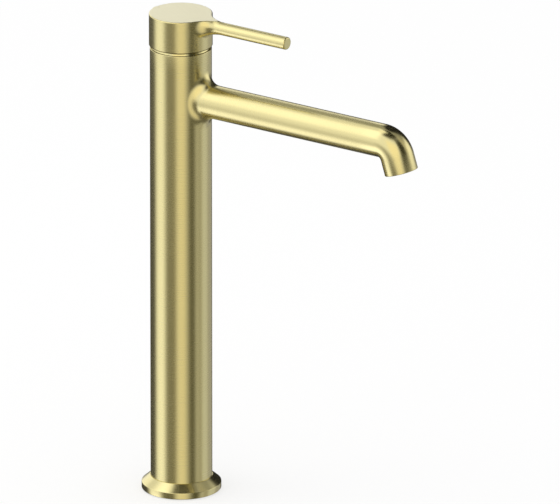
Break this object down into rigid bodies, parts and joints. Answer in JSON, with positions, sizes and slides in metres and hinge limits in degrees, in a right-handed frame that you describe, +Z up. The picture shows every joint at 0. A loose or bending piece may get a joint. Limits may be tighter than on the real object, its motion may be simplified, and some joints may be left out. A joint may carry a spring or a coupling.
{
  "type": "bathroom mixer faucet",
  "caption": "Tall single-lever basin mixer in brushed gold: round column on a flared base, level spout bent down at its end, cap with a pin lever that turns and lifts.",
  "frame": {"origin": "centre of the base's underside, on the deck", "axes": "+Z up along the column, +X along the spout and the closed lever"},
  "size_m": [0.2084, 0.0516, 0.3243],
  "materials": {
    "brushed_gold": "brushed",
    "raw_brass": "machined",
    "copper": "drawn copper",
    "black_rubber": "matt",
    "grey_plastic": "matt",
    "white_plastic": "satin",
    "ceramic": "lapped",
    "steel": "ground",
    "aerator_plastic": "satin"
  },
  "bodies": {
    "body": {"body_casting": "brushed_gold", "base_ring": "brushed_gold", "dome_cover": "brushed_gold", "base_insert": "raw_brass", "valve_manifold": "raw_brass", "retaining_nut": "raw_brass", "hot_supply_tube": "copper", "cold_supply_tube": "copper", "deck_seal": "black_rubber", "tube_o_rings": "black_rubber", "manifold_o_rings": "black_rubber", "port_seals": "black_rubber", "dome_o_ring": "black_rubber", "aerator_gasket": "black_rubber", "cartridge_base": "grey_plastic", "cartridge_housing": "grey_plastic", "fixed_disc": "ceramic", "aerator_housing": "aerator_plastic", "aerator_insert": "aerator_plastic"},
    "rotor": {"spindle_carrier": "white_plastic", "pivot_pin": "steel"},
    "handle": {"handle_casting": "brushed_gold", "lever_spindle": "raw_brass", "handle_grub_screw": "steel", "handle_plug": "brushed_gold"},
    "disc": {"moving_disc": "ceramic", "disc_carrier": "white_plastic"}
  },
  "joints": [
    {"name": "handle_turn", "type": "hinge", "parent": "body", "child": "rotor", "pos_m": [0, 0, 0.295], "axis": [0, 0, 1], "range_deg": [-45, 45]},
    {"name": "handle_lift", "type": "hinge", "parent": "rotor", "child": "handle", "pos_m": [0, 0, 0.295], "axis": [0, -1, 0], "range_deg": [0, 25]},
    {"name": "disc_slide", "type": "slide", "parent": "rotor", "child": "disc", "axis": [1, 0, 0], "range_m": [0, 0.00304]}
  ],
  "couplings": [
    {"joint": "disc_slide", "follows": "handle_lift", "m_per_rad": 0.0069446}
  ]
}
